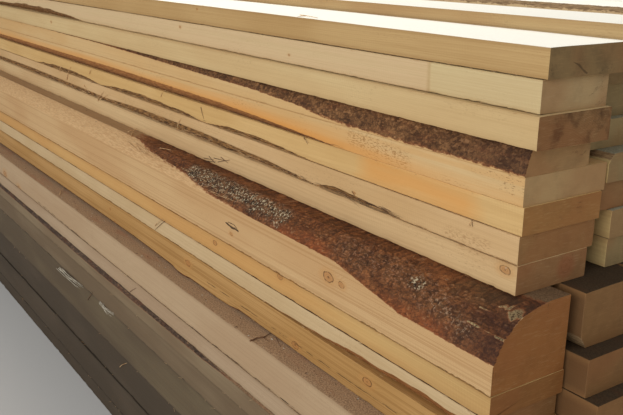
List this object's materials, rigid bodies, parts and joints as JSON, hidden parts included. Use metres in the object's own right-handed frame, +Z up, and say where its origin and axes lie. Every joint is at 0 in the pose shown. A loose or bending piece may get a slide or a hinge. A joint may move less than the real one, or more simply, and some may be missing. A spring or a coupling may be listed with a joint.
{
  "type": "stack of lumber",
  "caption": "Stack of rough-sawn softwood planks and beams, laid in rows on top of each other, some edges still with bark and wane.",
  "frame": {"origin": "on the ground, under the middle of the stack's box", "axes": "+X along the planks, to the ends that the picture shows; -Y towards the long side that the picture shows; +Z up"},
  "size_m": [4.162, 1.3546, 1.394],
  "materials": {
    "sawn_pine": "rough-sawn, bare",
    "waney_pine": "rough-sawn, with bark on the wane",
    "weathered_pine": "rough-sawn, damp and dirty"
  },
  "bodies": {
    "root": {"bark_beam_09": "waney_pine", "bark_beam_09_row_behind": "sawn_pine", "beam_13": "sawn_pine", "beam_13_row_behind": "sawn_pine", "beam_17": "weathered_pine", "beam_17_row_behind": "weathered_pine", "beam_18": "weathered_pine", "beam_18_row_behind": "weathered_pine", "beam_19": "weathered_pine", "beam_19_row_behind": "weathered_pine", "plank_01": "sawn_pine", "plank_01_row_behind": "sawn_pine", "plank_02": "sawn_pine", "plank_02_row_behind": "sawn_pine", "plank_03": "sawn_pine", "plank_03_row_behind": "sawn_pine", "plank_04": "waney_pine", "plank_04_row_behind": "sawn_pine", "plank_05": "sawn_pine", "plank_05_row_behind": "sawn_pine", "plank_06": "sawn_pine", "plank_06_row_behind": "sawn_pine", "plank_07": "sawn_pine", "plank_07_row_behind": "sawn_pine", "plank_08": "sawn_pine", "plank_08_row_behind": "sawn_pine", "plank_10": "sawn_pine", "plank_10_row_behind": "sawn_pine", "plank_11": "sawn_pine", "plank_11_row_behind": "sawn_pine", "plank_12": "sawn_pine", "plank_12_row_behind": "sawn_pine", "plank_14": "sawn_pine", "plank_14_row_behind": "sawn_pine", "plank_15": "sawn_pine", "plank_15_row_behind": "sawn_pine", "plank_16": "weathered_pine", "plank_16_row_behind": "weathered_pine", "plank_20": "weathered_pine", "plank_20_row_behind": "weathered_pine"}
  },
  "joints": []
}
